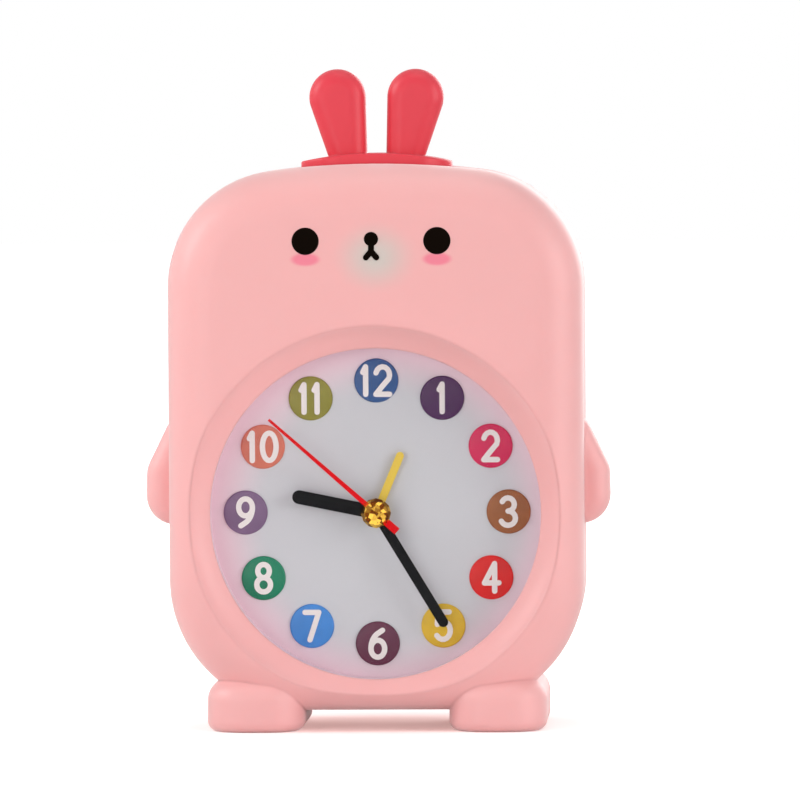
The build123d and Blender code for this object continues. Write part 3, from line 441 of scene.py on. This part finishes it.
for number, rgb in DISC_COLOURS.items():
    turn = math.radians(number * 30)
    x = NUMBER_RING * math.sin(turn)
    z = DIAL_Z + NUMBER_RING * math.cos(turn)
    colour = coated("disc_%d" % number, srgb(*rgb), 0.34, mottle=0.08, mottle_scale=300.0, grain=0.05,
                    coat=0.03, spec=0.25)[0]
    disc = mesh_piece("disc_%d" % number, disc_mesh(x, z), colour)
    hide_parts("number_discs")
    bm = bmesh.new()
    numeral(bm, str(number), x, z, DIAL_Y - NUMBER_T, DIAL_Y - NUMBER_T - NUMBER_RISE)
    mesh_piece("numeral_%d" % number, bm, number_ink)


# Floor: the white that it adds by itself, by distance from its middle in metres; less of it and pinker near
# the clock is painted pink shade under and beside the clock
FLOOR_HALF = 6.0
FLOOR_LIFT_WITH_PAINTED_SHADE = [(0.02, (0.44, 0.27, 0.25, 1.0)), (0.045, (0.54, 0.44, 0.43, 1.0)),
              (0.07, (0.76, 0.74, 0.74, 1.0)), (0.4, (1.0, 1.0, 1.0, 1.0))]


def floor_material():
    """White table: shadows stay near the clock, where painted pink shade is added, and the far part fades
    into the white background.
    """
    mat, tree = blank("floor_white")
    out = add(tree, "ShaderNodeOutputMaterial")
    diffuse = add(tree, "ShaderNodeBsdfDiffuse")
    lift = add(tree, "ShaderNodeEmission")
    path = add(tree, "ShaderNodeLightPath")
    coords = add(tree, "ShaderNodeTexCoord")
    cloud = add(tree, "ShaderNodeTexNoise", Scale=9.0)
    ramp = add(tree, "ShaderNodeValToRGB")
    ramp.color_ramp.elements[0].color = (0.84, 0.83, 0.83, 1.0)
    ramp.color_ramp.elements[1].color = (0.88, 0.87, 0.87, 1.0)
    away = add(tree, "ShaderNodeVectorMath")
    away.operation = "LENGTH"
    # Painted pink shade near the clock: less white is added there, tinted pink
    fade = add(tree, "ShaderNodeValToRGB")
    stops = fade.color_ramp.elements
    stops[0].position = FLOOR_LIFT_WITH_PAINTED_SHADE[0][0]
    stops[0].color = FLOOR_LIFT_WITH_PAINTED_SHADE[0][1]
    stops[1].position = FLOOR_LIFT_WITH_PAINTED_SHADE[-1][0]
    stops[1].color = FLOOR_LIFT_WITH_PAINTED_SHADE[-1][1]
    for place, colour in FLOOR_LIFT_WITH_PAINTED_SHADE[1:-1]:
        stops.new(place).color = colour
    link(tree, coords.outputs["Object"], cloud.inputs["Vector"])
    link(tree, coords.outputs["Object"], away.inputs[0])
    link(tree, cloud.outputs["Fac"], ramp.inputs["Fac"])
    link(tree, ramp.outputs["Color"], diffuse.inputs["Color"])
    link(tree, away.outputs["Value"], fade.inputs["Fac"])
    link(tree, fade.outputs["Color"], lift.inputs["Color"])
    link(tree, path.outputs["Is Camera Ray"], lift.inputs["Strength"])
    both = add(tree, "ShaderNodeAddShader")
    link(tree, diffuse.outputs["BSDF"], both.inputs[0])
    link(tree, lift.outputs["Emission"], both.inputs[1])
    link(tree, both.outputs["Shader"], out.inputs["Surface"])
    return mat


bm = bmesh.new()
corners = [(-1, -1), (1, -1), (1, 1), (-1, 1)]
bm.faces.new([bm.verts.new((sx * FLOOR_HALF, sy * FLOOR_HALF, 0.0)) for sx, sy in corners])
data = bpy.data.meshes.new("floor")
bm.to_mesh(data)
bm.free()
floor = bpy.data.objects.new("floor", data)
bpy.context.scene.collection.objects.link(floor)
data.materials.append(floor_material())

# Studio: soft light from all round, and a plain white background for the camera and for reflections
AMBIENT = 0.31
world = bpy.data.worlds.new("studio")
bpy.context.scene.world = world
world.use_nodes = True
tree = world.node_tree
tree.nodes.clear()
out = add(tree, "ShaderNodeOutputWorld")
ambient = add(tree, "ShaderNodeBackground", Color=(1.0, 0.985, 0.98, 1.0), Strength=AMBIENT)
white = add(tree, "ShaderNodeBackground", Color=(1.0, 1.0, 1.0, 1.0), Strength=1.0)
path = add(tree, "ShaderNodeLightPath")
seen = maths(tree, "MAXIMUM", path.outputs["Is Camera Ray"], path.outputs["Is Glossy Ray"])
seen = maths(tree, "MAXIMUM", seen, path.outputs["Is Transmission Ray"])
mix = add(tree, "ShaderNodeMixShader")
link(tree, seen, mix.inputs["Fac"])
link(tree, ambient.outputs["Background"], mix.inputs[1])
link(tree, white.outputs["Background"], mix.inputs[2])
link(tree, mix.outputs["Shader"], out.inputs["Surface"])


def area_light(name, place, size, power, colour):
    lamp = bpy.data.lights.new(name, "AREA")
    lamp.shape = "DISK"
    lamp.size = size
    lamp.energy = power
    lamp.color = colour
    obj = bpy.data.objects.new(name, lamp)
    obj.location = place
    obj.rotation_euler = (LAMP_AIM - Vector(place)).to_track_quat("-Z", "Y").to_euler()
    bpy.context.scene.collection.objects.link(obj)


# Round lamps: name, place and width in metres, power in watts, colour
LAMP_AIM = Vector((0.0, 0.0, 0.08))
LAMPS = [
    ("key", (-0.3, -0.6, 0.1), 0.4, 1.0, (1.0, 0.99, 0.98)),
    ("front", (0.25, -1.5, 0.05), 0.8, 2.1, (1.0, 0.99, 0.99)),
    ("fill", (1.3, -0.7, 0.3), 1.0, 10.8, (1.0, 0.98, 0.98)),
    ("side", (-1.3, -0.25, 0.75), 0.8, 11.0, (1.0, 0.99, 0.98)),
    ("rear", (0.6, 1.4, 0.5), 1.0, 9.0, (1.0, 0.99, 0.98)),
    ("top", (0.2, -0.2, 1.5), 1.0, 3.4, (1.0, 0.99, 0.98)),
]
for lamp_values in LAMPS:
    area_light(*lamp_values)

# Camera: a long lens, almost level and a little to the right of the middle
SENSOR_MM = 36.0
CAM_AZ = math.radians(2.5)
CAM_EL = math.radians(2.2)
CAM_ROLL = math.radians(-0.35)
CAM_DIST = 2.0
CAM_AIM = Vector((5.2 * MM, 0.0, 78.56 * MM))
VIEW_MM = 193.0
toward = Vector((math.sin(CAM_AZ) * math.cos(CAM_EL), -math.cos(CAM_AZ) * math.cos(CAM_EL), math.sin(CAM_EL)))
cam_data = bpy.data.cameras.new("camera")
cam_data.sensor_width = SENSOR_MM
cam_data.lens = SENSOR_MM * CAM_DIST / (VIEW_MM * MM)
cam_data.clip_end = 30.0
camera = bpy.data.objects.new("camera", cam_data)
camera.location = CAM_AIM + toward * CAM_DIST
roll = Quaternion((0.0, 0.0, 1.0), CAM_ROLL)
camera.rotation_euler = ((-toward).to_track_quat("-Z", "Y") @ roll).to_euler()
bpy.context.scene.collection.objects.link(camera)
bpy.context.scene.camera = camera

bpy.context.scene.view_settings.view_transform = "Standard"
